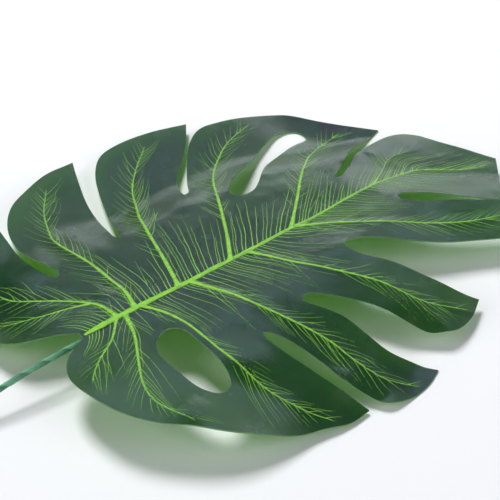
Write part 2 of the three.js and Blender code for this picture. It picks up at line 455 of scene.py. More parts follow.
@dataclass(frozen=True)
class TableWhite:
    """Matte white table, very slightly uneven in tone.

    Attributes:
        name: the material's name.
        dim: the darker colour.
        bright: the lighter colour.
        roughness: middle of the roughness.
        unevenness: spread of the roughness.
        cloud_scale: soft clouds of tone to the metre.
    """

    name: str = "table_white"
    dim: Colour = (0.855, 0.860, 0.880)
    bright: Colour = (0.875, 0.880, 0.900)
    roughness: float = 0.65
    unevenness: float = 0.1
    cloud_scale: float = 9.0

    def make(self) -> bpy.types.Material:
        """Make the material.

        Returns:
            The material.
        """
        graph = ShaderGraph(self.name)
        cloudy = graph.noise(self.cloud_scale, detail=2.0)
        inputs = {
            "Base Color": graph.blend(cloudy, self.dim, self.bright),
            "Roughness": graph.uneven(cloudy, self.roughness, self.unevenness),
        }
        return graph.finish(graph.principled(inputs).outputs[0])


PRINT_TOP = Fabric(
    "printed_top",
    deep=(0.005, 0.010, 0.013),
    pale=(0.011, 0.0165, 0.023),
    glow=(0.38, 0.88, 0.08),
    glow_share=0.225,
    roughness=0.26,
)
PLAIN_BACK = Fabric(
    "plain_back",
    deep=(0.210, 0.560, 0.045),
    pale=(0.260, 0.640, 0.065),
    glow=(0.60, 0.95, 0.24),
    glow_share=0.50,
    roughness=0.60,
)
CUT_EDGE = Fabric(
    "cut_edge",
    deep=(0.160, 0.260, 0.150),
    pale=(0.240, 0.360, 0.210),
    glow=(0.40, 0.75, 0.25),
    glow_share=0.35,
    roughness=0.70,
)
PLAIN_TAPE = Fabric(
    "plain_tape",
    deep=(0.100, 0.300, 0.045),
    pale=(0.140, 0.380, 0.065),
    glow=(0.30, 0.70, 0.12),
    glow_share=0.30,
    roughness=0.65,
)


@dataclass(frozen=True)
class Branching:
    """How fine branches leave a main vein.

    Attributes:
        turn: angle off the vein at the root, in degrees.
        length: length of the longest branches, in millimetres.
        bend: share of the turn that is lost towards a branch's end.
    """

    turn: float
    length: float
    bend: float


# Branches of the midrib run with the side veins, so only their length counts
MIDRIB_BRANCHES = Branching(turn=60.0, length=38.0, bend=0.0)

# Branches of the side veins towards the leaf's base and towards its tip, by the vein's own side of the leaf
BASE_BRANCHES = {
    1: Branching(turn=40.0, length=18.0, bend=0.3),
    -1: Branching(turn=29.0, length=32.0, bend=0.3),
}
TIP_BRANCHES = {
    1: Branching(turn=36.0, length=24.0, bend=0.7),
    -1: Branching(turn=32.0, length=18.0, bend=0.3),
}


@dataclass(frozen=True)
class Vein:
    """One main vein of the print in plan, from its root to its end.

    Attributes:
        course: landmarks in millimetres.
        widths: width at the root and at the end, in millimetres.
        is_turned: whether it runs back past the leaf's base, so that its two sides trade places.
    """

    course: tuple[Point, ...]
    widths: tuple[float, float]
    is_turned: bool = False

    def sample(self, step: float) -> np.ndarray:
        """Return points along a smooth line through the landmarks.

        Args:
            step: distance between points in millimetres.

        Returns:
            An array of points in plan.
        """
        marks = np.array(self.course, dtype=float)
        ghost = np.vstack([2 * marks[0] - marks[1], marks, 2 * marks[-1] - marks[-2]])
        points = [marks[0]]
        for a, b, c, d in zip(ghost, ghost[1:], ghost[2:], ghost[3:]):
            count = max(1, round(float(np.linalg.norm(c - b)) / step))
            for t in np.linspace(0, 1, count + 1)[1:]:
                points.append(
                    0.5 * (2 * b + (c - a) * t + (2 * a - 5 * b + 4 * c - d) * t**2)
                    + 0.5 * (3 * b - a - 3 * c + d) * t**3
                )
        return np.array(points)

    @property
    def side(self) -> int:
        """Return 1 for a vein that runs to the leaf's left, -1 for one that runs to its right."""
        return 1 if self.course[-1][1] > self.course[0][1] else -1

    def gaps_to(self, points: np.ndarray) -> tuple[np.ndarray, np.ndarray, np.ndarray]:
        """Measure how far places of the plan are from the vein.

        Args:
            points: the places.

        Returns:
            The distances, the numbers of the nearest points of the vein, and the vein's points.
        """
        line = self.sample(MEASURE_STEP)
        nearest = np.zeros(len(points), dtype=int)
        best = np.full(len(points), np.inf)
        for index, mark in enumerate(line):
            gaps = np.linalg.norm(points - mark, axis=1)
            closer = gaps < best
            best[closer] = gaps[closer]
            nearest[closer] = index
        return best, nearest, line


MIDRIB = Vein(
    (
        (-15, -0.6), (-3.5, 0), (10.5, 0.2), (28, 0.2), (53, 0.7), (71, 1.3), (83.5, 1.9), (94, 2), (111, 4),
        (128.5, 6), (138, 8), (146, 8.3), (153, 6.7), (158, 3.6), (164, -0.9), (171, -5), (179, -7.6),
    ),
    (3.3, 0.5),
)
SIDE_VEINS = (
    Vein(((0, -0.5), (-2, 9), (-6.5, 16), (-17, 27), (-23, 36), (-25, 44), (-26, 54)), (1.6, 0.4)),
    Vein(((-4, 12.5), (-11, 15.2), (-20, 18.5), (-29.5, 24.5), (-33.5, 30), (-36, 38)), (1.0, 0.3)),
    Vein(
        (
            (8, 0.2), (10, 10.5), (9.8, 20), (9.6, 32), (8.5, 42), (7.6, 56.5), (10.4, 66.5), (15, 77),
            (24, 90),
        ),
        (1.9, 0.4),
    ),
    Vein(
        ((27.5, 0.2), (33, 19), (37.7, 35.7), (42, 48), (47.5, 59), (53, 70), (62, 80.5), (73.5, 91)),
        (2.0, 0.4),
    ),
    Vein(
        (
            (52, 0.6), (59.5, 13), (68.5, 29.5), (78, 47.5), (86.5, 59), (96.5, 68), (105.5, 73.7),
            (120, 79),
        ),
        (1.9, 0.4),
    ),
    Vein(
        ((82, 1.6), (96, 15.5), (107.5, 27.5), (117, 36), (125.5, 43), (135, 49), (149.5, 53)),
        (1.7, 0.4),
    ),
    Vein(((128, 5.8), (141.5, 15.8), (148, 20), (154.5, 21), (160, 19.5)), (0.9, 0.3)),
    Vein(
        ((84, 1.8), (98, -5.5), (114, -17), (128.5, -27.4), (142.5, -35.4), (154.5, -40), (164, -44)),
        (1.4, 0.4),
    ),
    Vein(
        ((60, 0.8), (65, -7), (71, -18), (82, -31.5), (89.3, -43.4), (95, -54), (101.7, -61), (113.3, -67.2)),
        (1.6, 0.4),
    ),
    Vein(
        (
            (32.5, 0.2), (39, -13.5), (44, -27), (52, -42), (56.6, -54), (59, -64), (62.6, -72.7),
            (66.1, -77.1), (75.5, -83.4),
        ),
        (1.7, 0.4),
    ),
    Vein(
        (
            (10.3, 0.2), (15, -8.5), (17.4, -18), (18.4, -29.2), (20.1, -42), (22.5, -53.7), (26.2, -63.5),
            (31.5, -73), (38, -80.2),
        ),
        (1.7, 0.4),
    ),
    Vein(
        ((3, 0), (-0.5, -11.5), (-8, -25.5), (-13, -35.5), (-14.7, -44), (-12.5, -52.5), (-8.7, -61)),
        (1.8, 0.4),
        True,
    ),
    Vein(((-0.6, 0), (-8.3, -8.6), (-17.8, -15.3), (-24.5, -21.5), (-27, -25)), (1.3, 0.4), True),
)


@dataclass
class LeafPlan:
    """Where the plan of the leaf lies in the frame, worked out from the tape under the midrib.

    Attributes:
        tape_start: x of the tape's end near the stem, in plan.
        tape_side: y of the tape's middle, in plan.
    """

    tape_start: float = -10.0
    tape_side: float = -0.5
    shift: np.ndarray = field(init=False)

    def __post_init__(self) -> None:
        """Compare the tape's place in the frame with its place in plan."""
        low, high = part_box("rib_tape")
        middle = (low.y + high.y) / 2
        self.shift = np.array([low.x / MM - self.tape_start, middle / MM - self.tape_side])

    def to_frame(self, points: np.ndarray) -> np.ndarray:
        """Return points of the plan as x and y in metres in the frame."""
        return (np.asarray(points) + self.shift) * MM

    def to_plan(self, places: np.ndarray) -> np.ndarray:
        """Return places in the frame as x and y of the plan, in millimetres."""
        return np.asarray(places)[:, :2] / MM - self.shift


def new_piece(name: str, mesh: bpy.types.Mesh) -> bpy.types.Object:
    """Put a mesh into the scene as an object at the origin.

    Args:
        name: the object's name.
        mesh: its mesh.

    Returns:
        The object.
    """
    piece = bpy.data.objects.new(name, mesh)
    bpy.context.scene.collection.objects.link(piece)
    return piece


def apply_modifiers(piece: bpy.types.Object) -> None:
    """Replace a piece's mesh by its evaluated mesh and remove its modifiers.

    Args:
        piece: the piece.
    """
    evaluated = piece.evaluated_get(bpy.context.evaluated_depsgraph_get())
    made = bpy.data.meshes.new_from_object(evaluated)
    piece.modifiers.clear()
    old = piece.data
    piece.data = made
    bpy.data.meshes.remove(old)


def vertex_array(mesh: bpy.types.Mesh) -> np.ndarray:
    """Read a mesh's vertices.

    Args:
        mesh: the mesh.

    Returns:
        An array of their places.
    """
    values = np.empty(len(mesh.vertices) * 3, dtype=np.float32)
    mesh.vertices.foreach_get("co", values)
    return values.reshape(-1, 3).astype(float)


@dataclass(frozen=True)
class Buckle:
    """A soft rise or hollow of the fabric.

    Attributes:
        middle: its middle in plan.
        reach: distance over which it fades, in millimetres.
        height: its height, below zero for a hollow, in millimetres.
    """

    middle: Point
    reach: float
    height: float

    def lift(self, points: np.ndarray) -> np.ndarray:
        """Return the height that it adds at places of the plan, in millimetres."""
        square = np.sum((points - np.array(self.middle)) ** 2, axis=1)
        return self.height * np.exp(-square / self.reach**2)


BUCKLES = (
    Buckle((25, -46), 8.0, 2.0),
    Buckle((-7, -57), 7.5, 1.6),
    Buckle((3, 10), 6.0, 1.0),
    Buckle((20, 6), 5.0, 0.5),
    Buckle((44, 5), 5.0, 0.5),
    Buckle((90, -22), 6.0, 0.7),
    Buckle((34, -82), 7.0, 1.2),
    Buckle((-8, 44), 6.0, 0.6),
    Buckle((14, 55), 8.0, 0.9),
    Buckle((24, 44), 6.0, -0.4),
    Buckle((38, 52), 6.0, -0.4),
    Buckle((58, 46), 6.0, 0.5),
    Buckle((76, 50), 6.0, -0.4),
    Buckle((100, 46), 6.0, 0.4),
    Buckle((-20, 50), 8.0, 0.8),
    Buckle((128, 55), 8.0, 0.8),
)


@dataclass
class Blade:
    """The fabric blade: the frame's solid, refined and embossed.

    Attributes:
        plan: where the plan of the leaf lies.
        levels: rounds of subdivision.
        corner_turn: turn of the edge, in degrees, past which a corner stays sharp.
        cut_slope: upward part of a face's normal under which it belongs to the cut edge.
        rib_height: height of the embossed rib along a vein, in millimetres.
        rib_width: reach of the rib to each side, in millimetres.
        rib_loss: share of its height that a rib loses towards its end.
        valley_depth: depth of the hollows beside a rib, in millimetres.
        valley_place: distance of the hollows from the vein, in millimetres.
        valley_reach: distance over which a hollow fades, in millimetres.
        wave_height: height of the small waves between veins, in millimetres.
        wave_lengths: lengths of the coarse and the fine waves, in millimetres.
        wave_layers: layers of the noise that the coarse and the fine waves are cut from.
        fine_share: height of the fine waves as a share of the coarse ones.
        wave_clear: distance from a vein inside which the waves fade, in millimetres.
        wave_reach: distance from the midrib over which the waves grow calmer, in millimetres.
        calm_share: share of the waves that is left far from the midrib.
        streak_gap: distance from a vein inside which a streak runs with it, in millimetres.
    """

    plan: LeafPlan
    levels: int = 2
    corner_turn: float = 45.0
    cut_slope: float = 0.35
    rib_height: float = 0.25
    rib_width: float = 1.5
    rib_loss: float = 0.75
    valley_depth: float = 0.12
    valley_place: float = 4.5
    valley_reach: float = 3.0
    wave_height: float = 0.25
    wave_lengths: tuple[float, float] = (13.0, 5.0)
    wave_layers: tuple[float, float] = (0.3, 5.1)
    fine_share: float = 0.4
    wave_clear: float = 3.0
    wave_reach: float = 55.0
    calm_share: float = 0.3
    streak_gap: float = 0.4
    piece: bpy.types.Object = field(init=False)

    def build(self) -> bpy.types.Object:
        """Make the blade.

        Returns:
            The finished piece.
        """
        self.piece = new_piece("blade_fabric", self._refined_solid())
        self._emboss()
        for finish in (PRINT_TOP, PLAIN_BACK, CUT_EDGE):
            self.piece.data.materials.append(finish.make())
        return self.piece

    def _refined_solid(self) -> bpy.types.Mesh:
        """Subdivide a copy of the frame's blade with its cut edges kept sharp.

        Returns:
            The mesh.
        """
        mesh = bpy.data.meshes.new("blade_fabric")
        solid = bmesh.new()
        solid.from_mesh(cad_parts["leaf_blade"].data)
        bmesh.ops.remove_doubles(solid, verts=solid.verts, dist=MERGE_GAP)
        self._mark_edges(solid)
        solid.to_mesh(mesh)
        solid.free()
        draft = new_piece("blade_draft", mesh)
        refine = draft.modifiers.new("refine", "SUBSURF")
        refine.levels = refine.render_levels = self.levels
        apply_modifiers(draft)
        made = draft.data
        bpy.data.objects.remove(draft)
        return made

    def _mark_edges(self, solid: bmesh.types.BMesh) -> None:
        """Sort the faces by side, and crease the cut edges and their sharp corners.

        Args:
            solid: the merged blade.
        """
        edge_crease = solid.edges.layers.float.new("crease_edge")
        corner_crease = solid.verts.layers.float.new("crease_vert")
        for face in solid.faces:
            face.material_index = self._side_of(face).value
            face.smooth = True
        for edge in solid.edges:
            if len({face.material_index for face in edge.link_faces}) > 1:
                edge[edge_crease] = 1.0
                edge.smooth = False
        for vert in solid.verts:
            if self._is_corner(vert):
                vert[corner_crease] = 1.0

    def _side_of(self, face: bmesh.types.BMFace) -> Side:
        """Tell the sides of the blade apart.

        Args:
            face: a face.

        Returns:
            Whether it is on the print, the back or the cut edge.
        """
        if abs(face.normal.z) < self.cut_slope:
            return Side.CUT
        return Side.PRINT if face.normal.z > 0 else Side.BACK

    def _is_corner(self, vert: bmesh.types.BMVert) -> bool:
        """Tell whether the blade's edge turns sharply.

        Args:
            vert: a vertex.

        Returns:
            True if it is a sharp corner of the edge.
        """
        rim = [edge for edge in vert.link_edges if not edge.smooth]
        if len(rim) != 2:
            return False
        first, second = (edge.other_vert(vert).co - vert.co for edge in rim)
        return math.degrees(first.angle(second)) < 180 - self.corner_turn

    def _emboss(self) -> None:
        """Raise ribs along the veins and soft buckles between them, alike on both faces."""
        mesh = self.piece.data
        places = vertex_array(mesh)
        points = self.plan.to_plan(places)
        relief = self._ribs(points) + sum(buckle.lift(points) for buckle in BUCKLES)
        places[:, 2] = np.maximum(places[:, 2] + relief * MM, 0.0)
        mesh.vertices.foreach_set("co", places.astype(np.float32).ravel())
        streaks = mesh.attributes.new("streak", "FLOAT", "POINT")
        streaks.data.foreach_set("value", self._streak_lines(points))
        mesh.update()

    def _ribs(self, points: np.ndarray) -> np.ndarray:
        """Shape the ribs and the small waves.

        Args:
            points: places of the plan.

        Returns:
            The heights there, in millimetres.
        """
        distances = np.full(len(points), np.inf)
        strengths = np.zeros(len(points))
        for vein in (MIDRIB, *SIDE_VEINS):
            gaps, nearest, line = vein.gaps_to(points)
            closer = gaps < distances
            distances[closer] = gaps[closer]
            strengths[closer] = 1 - self.rib_loss * nearest[closer] / len(line)
        ribs = self.rib_height * np.exp(-((distances / self.rib_width) ** 2))
        beside = (distances - self.valley_place) / self.valley_reach
        valleys = self.valley_depth * np.exp(-(beside**2))
        waves = np.array([self._wave(x, y) for x, y in points])
        lively = np.exp(-((points[:, 1] / self.wave_reach) ** 2))
        share = self.calm_share + (1 - self.calm_share) * lively
        waves *= self.wave_height * share * np.minimum(1, distances / self.wave_clear)
        return (ribs - valleys) * strengths + waves

    def _wave(self, x: float, y: float) -> float:
        """Cut the small waves from noise.

        Args:
            x: place along the midrib, in millimetres.
            y: place to the leaf's left, in millimetres.

        Returns:
            Their height there, about -1 to 1.
        """
        coarse, fine = (
            noise.noise(Vector((x / length, y / length, layer)))
            for length, layer in zip(self.wave_lengths, self.wave_layers)
        )
        return coarse + self.fine_share * fine

    def _streak_lines(self, points: np.ndarray) -> np.ndarray:
        """Find the streak that each place belongs to.

        Args:
            points: places of the plan.

        Returns:
            Where each place's line, run back between the side veins, leaves the midrib.
        """
        gaps, nearest, line = MIDRIB.gaps_to(points)
        weights = 1 / np.maximum(gaps, self.streak_gap) ** 2
        total = line[nearest, 0] * weights
        sides = np.sign(points[:, 1] - line[nearest, 1])
        for vein in SIDE_VEINS:
            gaps, _, course = vein.gaps_to(points)
            share = (sides == vein.side) / np.maximum(gaps, self.streak_gap) ** 2
            total += course[0, 0] * share
            weights += share
        return total / weights


# Main veins: how width and strength change from root to end, with lengths in millimetres
MAIN_TAPER = 0.75
MAIN_WIDTH_RANGE = (0.84, 1.14)
MAIN_END_SHARE = 0.4
MAIN_FADE = 0.3
MAIN_FLARE_LENGTH = 2.2
ROOT_FLARE = 0.8
MIDRIB_START_SHARE = 0.35
MIDRIB_START_LENGTH = 7.0

# Fine branches: where they leave a main vein, with lengths in millimetres and the heading taken over points
ROOT_STEP = 0.5
FIRST_ROOT_RANGE = (1.0, 2.5)
LAST_ROOT_GAP = 2.0
SPACING_RANGE = (0.55, 1.45)
HEADING_POINTS = 2

# Fine branches: how they change along the main vein, with the spread of the turn in degrees
TURN_SPREAD = 2.5
TURN_LOSS = 0.2
LENGTH_RANGE = (0.6, 1.1)
LENGTH_LOSS = 0.35
BASE_LENGTH_SHARE = 0.3
BASE_LENGTH_GAIN = 5.0
STRENGTH_RANGE = (0.7, 1.0)
STRENGTH_LOSS = 0.15

# Fine branches: how each one wanders in radians, narrows and fades
LEAST_STEPS = 3
LEAST_POINTS = 5
WANDER = 0.16
WANDER_LENGTH = 5.0
WANDER_LAYER = 2.7
JITTER = 0.035
FINE_WIDTH_RANGE = (0.75, 1.15)
FINE_TAPER = 0.35
FINE_FADE = 0.5
FINE_FLARE_POINTS = 1.2
LEAST_FLOW_GAP = 0.5

# Forks of fine branches: where they may leave, their turn in degrees, and their shares of the branch
FORK_MORE_THAN = 7
FORK_FROM_POINT = 2
FORK_EXTRA_STEPS = 2
FORK_TURN_RANGE = (-18.0, 18.0)
FORK_STRENGTH = 0.8
FORK_WIDTH = 0.9

# Room for fine branches: sides of the search cells and the free start of a branch, in millimetres, and
# the number of spots round a place that must lie on the blade
CELL = 4.0
ROOT_CLEAR = 2.5
RIM_SPOTS = 6


@dataclass
class Veins:
    """The printed veins: lines in plan that are laid on the blade and given width.

    Attributes:
        plan: where the plan of the leaf lies.
        blade: the finished blade.
        step: distance between points of a line, in millimetres.
        spacing: distance between fine branches along the midrib, in millimetres.
        side_spacing: distance between fine branches along a side vein, in millimetres.
        fine_width: width of a fine branch of the midrib, in millimetres.
        side_width: width of a fine branch of a side vein, in millimetres.
        fork_share: share of the longer branches that fork.
        margin: distance that fine branches keep from the blade's edge, in millimetres.
        apart: distance that fine branches of the midrib keep from other veins, in millimetres.
        side_apart: distance that those of a side vein keep, in millimetres.
        rise: height of a vein's crown over the fabric as a share of its half width.
        seed: seed of the small irregularities.
        lines: each line's points, half widths in millimetres and strengths.
        taken: places that veins pass, by search cell.
        dice: the seeded draws.
        flows: each side vein's points, its directions there, and its side of the midrib.
        skin: the blade's surface, for looking up what lies under a place.
    """

    plan: LeafPlan
    blade: bpy.types.Object
    step: float = 1.6
    spacing: float = 2.0
    side_spacing: float = 3.3
    fine_width: float = 0.38
    side_width: float = 0.27
    fork_share: float = 0.3
    margin: float = 2.6
    apart: float = 0.7
    side_apart: float = 0.5
    rise: float = 0.10
    seed: int = 11
    lines: list[tuple[np.ndarray, np.ndarray, np.ndarray]] = field(default_factory=list)
    taken: dict[tuple[int, int], list[Point]] = field(default_factory=dict)
    dice: random.Random = field(init=False)
    flows: list[tuple[np.ndarray, np.ndarray, int]] = field(init=False)
    skin: BVHTree = field(init=False)

    def build(self) -> bpy.types.Object:
        """Draw the veins and lay them on the blade.

        Returns:
            The raised veins as one piece.
        """
        self.dice = random.Random(self.seed)
        self.flows = self._side_flows()
        self.skin = BVHTree.FromObject(self.blade, bpy.context.evaluated_depsgraph_get())
        for vein in (MIDRIB, *SIDE_VEINS):
            self._add_main(vein)
        for vein in (MIDRIB, *SIDE_VEINS):
            self._add_branches(vein)
        piece = new_piece("vein_relief", self._line_mesh())
        tree = VeinTree("vein_relief_tree").build()
        modifier = piece.modifiers.new("lay_on_blade", "NODES")
        modifier.node_group = tree.tree
        modifier[tree.inputs["Blade"]] = self.blade
        modifier[tree.inputs["Rise"]] = self.rise
        modifier[tree.inputs["Print"]] = VeinPrint().make()
        apply_modifiers(piece)
        return piece

    def _add_main(self, vein: Vein) -> None:
        """Add the line of a main vein, which narrows to its end.

        Args:
            vein: the midrib, whose start is narrow, or a side vein, whose root flares.
        """
        line = vein.sample(self.step)
        share = np.linspace(0, 1, len(line))
        reach = share * self.step * len(line)
        wide, narrow = vein.widths
        widths = wide + (narrow - wide) * share**MAIN_TAPER
        if vein is MIDRIB:
            started = np.minimum(1, reach / MIDRIB_START_LENGTH)
            widths *= MIDRIB_START_SHARE + (1 - MIDRIB_START_SHARE) * started
        else:
            widths *= 1 + ROOT_FLARE * np.exp(-reach / MAIN_FLARE_LENGTH)
        widths *= [self.dice.uniform(*MAIN_WIDTH_RANGE) for _ in line]
        widths[-1] *= MAIN_END_SHARE
        self.lines.append((line, widths / 2, 1 - MAIN_FADE * share))
        for x, y in line:
            self._take(x, y)

    def _add_branches(self, vein: Vein) -> None:
        """Add the fine branches on both sides of a main vein.

        Args:
            vein: the main vein.
        """
        line = vein.sample(ROOT_STEP)
        total = ROOT_STEP * len(line)
        spacing = self.spacing if vein is MIDRIB else self.side_spacing
        for side in (1, -1):
            reach = self.dice.uniform(*FIRST_ROOT_RANGE)
            while reach < total - LAST_ROOT_GAP:
                index = int(reach / ROOT_STEP)
                before = line[max(index - HEADING_POINTS, 0)]
                heading = line[min(index + HEADING_POINTS, len(line) - 1)] - before
                self._grow(vein, line[index], math.atan2(heading[1], heading[0]), side, reach / total)
                reach += spacing * self.dice.uniform(*SPACING_RANGE)

    def _grow(self, vein: Vein, root: np.ndarray, heading: float, side: int, share: float) -> None:
        """Grow one fine branch, and sometimes a fork from it.

        Args:
            vein: the main vein that it leaves.
            root: where it leaves it.
            heading: direction of the main vein there, in radians.
            side: 1 for the left of the main vein, -1 for the right.
            share: how far along the main vein it leaves.
        """
        is_rib = vein is MIDRIB
        kind = self._branching(vein, side)
        turn = math.radians(kind.turn + self.dice.gauss(0, TURN_SPREAD)) * (1 - TURN_LOSS * share)
        length = kind.length * (1 - LENGTH_LOSS * share**2) * self.dice.uniform(*LENGTH_RANGE)
        if is_rib:
            length *= min(1.0, BASE_LENGTH_SHARE + BASE_LENGTH_GAIN * share)

        def steer(point: np.ndarray, along: float) -> float:
            """Steer the branch with the side veins, or off its own main vein.

            Args:
                point: the place that it has reached.
                along: share of its length up to there.

            Returns:
                Its direction in radians.
            """
            if is_rib:
                return self._flow(point, side)
            return heading + side * turn * (1 - kind.bend * along * length / kind.length)

        apart = self.apart if is_rib else self.side_apart
        width = self.fine_width if is_rib else self.side_width
        line = self._trace(root, round(length / self.step), steer, apart)
        strong = self.dice.uniform(*STRENGTH_RANGE) * (1 - STRENGTH_LOSS * share)
        self._lay(line, strong, width)
        if len(line) > FORK_MORE_THAN and self.dice.random() < self.fork_share:
            self._fork(line, side, apart, strong, width)

    def _fork(self, line: np.ndarray, side: int, apart: float, strong: float, width: float) -> None:
        """Grow a straight fork from a fine branch.

        Args:
            line: the branch's points in plan.
            side: 1 for the left of the main vein, -1 for the right.
            apart: distance that the fork keeps from other veins, in millimetres.
            strong: strength of the branch's print.
            width: the branch's width in millimetres.
        """
        start = self.dice.randint(FORK_FROM_POINT, len(line) // 2)
        ahead = line[start + 1] - line[start]
        turn = math.radians(self.dice.uniform(*FORK_TURN_RANGE))
        heading = math.atan2(ahead[1], ahead[0]) + side * turn
        count = (len(line) - start) // 2 + FORK_EXTRA_STEPS
        fork = self._trace(line[start], count, lambda point, along: heading, apart)
        self._lay(fork, FORK_STRENGTH * strong, FORK_WIDTH * width)

    @staticmethod
    def _branching(vein: Vein, side: int) -> Branching:
        """Choose how branches leave a main vein.

        Args:
            vein: the main vein.
            side: 1 for its left, -1 for its right.

        Returns:
            The branching towards the leaf's base or towards its tip.
        """
        if vein is MIDRIB:
            return MIDRIB_BRANCHES
        is_base_side = (side == vein.side) != vein.is_turned
        kinds = BASE_BRANCHES if is_base_side else TIP_BRANCHES
        return kinds[vein.side]

    def _trace(
        self, root: np.ndarray, count: int, steer: Callable[[np.ndarray, float], float], apart: float
    ) -> np.ndarray:
        """Follow a direction until the line nears an edge or another vein.

        Args:
            root: where the line starts.
            count: its most steps.
            steer: gives the direction at a place and at a share of the length, in radians.
            apart: distance that it keeps from other veins, in millimetres.

        Returns:
            The line's points in plan.
        """
        points = [np.array(root)]
        steps = max(LEAST_STEPS, count)
        for i in range(steps):
            angle = steer(points[-1], i / steps)
            drift = noise.noise(Vector((*points[-1] / WANDER_LENGTH, WANDER_LAYER)))
            angle += WANDER * drift + self.dice.gauss(0, JITTER)
            following = points[-1] + self.step * np.array([math.cos(angle), math.sin(angle)])
            if not self._is_free(following, root, apart):
                break
            points.append(following)
        return np.array(points)

    def _lay(self, line: np.ndarray, strong: float, width: float) -> None:
        """Add a fine line, unless it is very short.

        Args:
            line: its points in plan.
            strong: strength of its print.
            width: its width past the root, where it is thicker, in millimetres.
        """
        if len(line) < LEAST_POINTS:
            return
        along = np.linspace(0, 1, len(line))
        widths = width * self.dice.uniform(*FINE_WIDTH_RANGE) * (1 - FINE_TAPER * along)
        widths *= 1 + ROOT_FLARE * np.exp(-along * len(line) / FINE_FLARE_POINTS)
        self.lines.append((line, widths / 2, strong * (1 - FINE_FADE * along**2)))
        for x, y in line[1:]:
            self._take(x, y)

    def _flow(self, point: np.ndarray, side: int) -> float:
        """Return the direction of the side veins round a place.

        Args:
            point: the place in plan.
            side: 1 for the veins left of the midrib, -1 for those right of it.

        Returns:
            The direction in radians.
        """
        total = np.zeros(2)
        for line, ahead, vein_side in self.flows:
            if vein_side != side:
                continue
            gaps = np.linalg.norm(line - point, axis=1)
            nearest = int(np.argmin(gaps))
            total += ahead[nearest] / max(gaps[nearest], LEAST_FLOW_GAP) ** 2
        return math.atan2(total[1], total[0])

    @staticmethod
    def _side_flows() -> list[tuple[np.ndarray, np.ndarray, int]]:
        """Follow the side veins.

        Returns:
            Each side vein's points, its directions there, and its side of the midrib.
        """
        flows = []
        for vein in SIDE_VEINS:
            line = vein.sample(MEASURE_STEP)
            ahead = np.gradient(line, axis=0)
            ahead /= np.linalg.norm(ahead, axis=1, keepdims=True)
            flows.append((line, ahead, vein.side))
        return flows

    def _take(self, x: float, y: float) -> None:
        """Remember that a vein passes a place."""
        self.taken.setdefault((int(x // CELL), int(y // CELL)), []).append((x, y))

    def _is_free(self, point: np.ndarray, root: np.ndarray, apart: float) -> bool:
        """Return whether a branch may pass a place.

        Args:
            point: the place in plan.
            root: where the branch starts.
            apart: distance that it keeps from other veins, in millimetres.

        Returns:
            True if the place is inside the blade and clear of other veins.
        """
        if math.dist(point, root) > ROOT_CLEAR:
            column, row = int(point[0] // CELL), int(point[1] // CELL)
            for i in (column - 1, column, column + 1):
                for j in (row - 1, row, row + 1):
                    if any(math.dist(point, other) < apart for other in self.taken.get((i, j), [])):
                        return False
        angles = np.linspace(0, 2 * math.pi, RIM_SPOTS, endpoint=False)
        around = point + self.margin * np.stack([np.cos(angles), np.sin(angles)], axis=1)
        return all(self._is_on_blade(spot) for spot in around)

    def _is_on_blade(self, point: np.ndarray) -> bool:
        """Return whether the blade lies under a place of the plan."""
        x, y = self.plan.to_frame(point)
        return self.skin.ray_cast(Vector((x, y, OVER_LEAF)), Vector((0, 0, -1)))[0] is not None

    def _line_mesh(self) -> bpy.types.Mesh:
        """Put the lines over the leaf as a mesh of edges.

        Returns:
            The mesh, which stores their half widths and strengths.
        """
        places: list[tuple[float, float, float]] = []
        edges: list[tuple[int, int]] = []
        for line, _, _ in self.lines:
            start = len(places)
            places += [(x, y, OVER_LEAF) for x, y in self.plan.to_frame(line)]
            edges += [(start + i, start + i + 1) for i in range(len(line) - 1)]
        mesh = bpy.data.meshes.new("vein_relief")
        mesh.from_pydata(places, edges, [])
        halves = mesh.attributes.new("half_width", "FLOAT", "POINT")
        halves.data.foreach_set("value", np.concatenate([half for _, half, _ in self.lines]) * MM)
        strengths = mesh.attributes.new("strength", "FLOAT", "POINT")
        strengths.data.foreach_set("value", np.concatenate([strong for _, _, strong in self.lines]))
        return mesh


